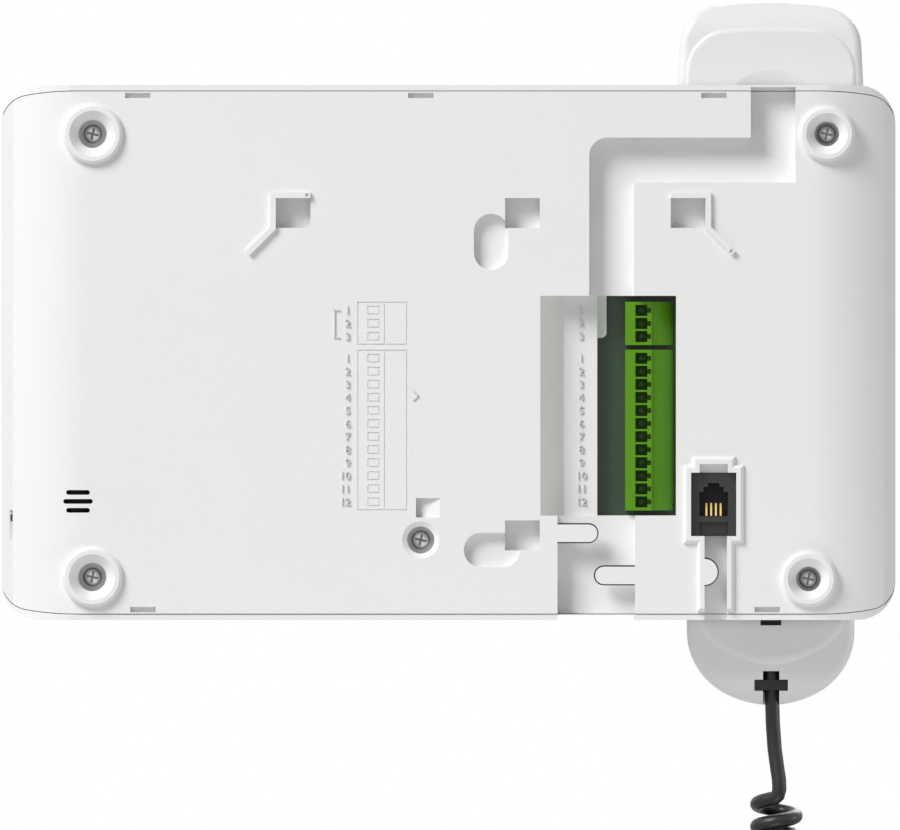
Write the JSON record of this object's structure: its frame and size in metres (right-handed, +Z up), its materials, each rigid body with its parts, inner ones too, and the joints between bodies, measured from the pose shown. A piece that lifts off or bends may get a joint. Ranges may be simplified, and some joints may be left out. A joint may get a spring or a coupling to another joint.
{
  "type": "intercom wall station with handset",
  "caption": "Wall intercom station seen with its handset hung on the front, terminals and cable channels in its back, a display and push buttons in front, and a curly cord.",
  "frame": {"origin": "middle of the flat back, in the plane that faces the wall, where the wall bracket holds the station", "axes": "+X to the left of someone who looks at the station from the room's side turned round, that is to the left in the picture of its back; +Y out of the back into the wall; +Z up"},
  "size_m": [0.24, 0.054, 0.3801],
  "materials": {
    "white_plastic": "fine matt moulded plastic, white",
    "grey_plastic": "matt moulded plastic, grey",
    "black_plastic": "matt moulded plastic, black",
    "black_rubber": "satin flexible sheath, black",
    "grey_rubber": "soft matt pad, grey",
    "green_plastic": "satin moulded plastic, bright green",
    "board_green": "coated circuit board, dark green",
    "steel": "plain zinc plated steel",
    "cast_weight": "rough cast bar",
    "gold": "gold plated contact",
    "brass_disc": "thin disc",
    "ringer_black": "moulded ring",
    "window_glass": "smoked clear window",
    "panel_black": "dark display panel",
    "clear_plastic": "clear moulded plug"
  },
  "bodies": {
    "station": {"back_cover": "white_plastic", "front_frame": "white_plastic", "line_jack": "black_plastic", "volume_switch": "black_plastic", "hook_switch": "black_plastic", "tact_switches": "black_plastic", "control_chips": "black_plastic", "power_components": "black_plastic", "cradle_pads": "grey_rubber", "terminal_block_mains": "green_plastic", "terminal_block_lines": "green_plastic", "main_board": "board_green", "button_board": "board_green", "casing_screws": "steel", "centre_screw": "steel", "board_screws": "steel", "button_board_screws": "steel", "terminal_clamps": "steel", "hook_spring": "steel", "line_jack_contacts": "gold", "ringer_diaphragm": "brass_disc", "ringer": "ringer_black", "display_window": "window_glass", "display_panel": "panel_black"},
    "handset": {"handset_outer_shell": "white_plastic", "handset_inner_shell": "white_plastic", "receiver_capsule": "black_plastic", "microphone_capsule": "black_plastic", "handset_weight": "cast_weight", "handset_screws": "steel", "cord_strain_relief": "black_rubber", "handset_cord": "black_rubber", "cord_plug": "clear_plastic", "cord_plug_contacts": "gold"},
    "plunger": {"hook_plunger": "grey_plastic"},
    "call": {"call_button": "white_plastic"},
    "door": {"door_button": "white_plastic"},
    "monitor": {"monitor_button": "white_plastic"},
    "light": {"light_button": "white_plastic"},
    "volume": {"volume_knob": "black_plastic"}
  },
  "joints": [
    {"name": "handset_lift", "type": "slide", "parent": "station", "child": "handset", "axis": [0, -1, 0], "range_m": [0, 0.06]},
    {"name": "hook_travel", "type": "slide", "parent": "station", "child": "plunger", "axis": [0, -1, 0], "range_m": [0, 0.0025]},
    {"name": "call_press", "type": "slide", "parent": "station", "child": "call", "axis": [0, 1, 0], "range_m": [0, 0.0008], "stiffness_N_per_m": 500},
    {"name": "door_press", "type": "slide", "parent": "station", "child": "door", "axis": [0, 1, 0], "range_m": [0, 0.0008], "stiffness_N_per_m": 500},
    {"name": "monitor_press", "type": "slide", "parent": "station", "child": "monitor", "axis": [0, 1, 0], "range_m": [0, 0.0008], "stiffness_N_per_m": 500},
    {"name": "light_press", "type": "slide", "parent": "station", "child": "light", "axis": [0, 1, 0], "range_m": [0, 0.0008], "stiffness_N_per_m": 500},
    {"name": "volume_slide", "type": "slide", "parent": "station", "child": "volume", "axis": [0, 0, 1], "range_m": [-0.004, 0]}
  ],
  "couplings": [
    {"joint": "hook_travel", "follows": "handset_lift", "ratio": 0.041666}
  ]
}
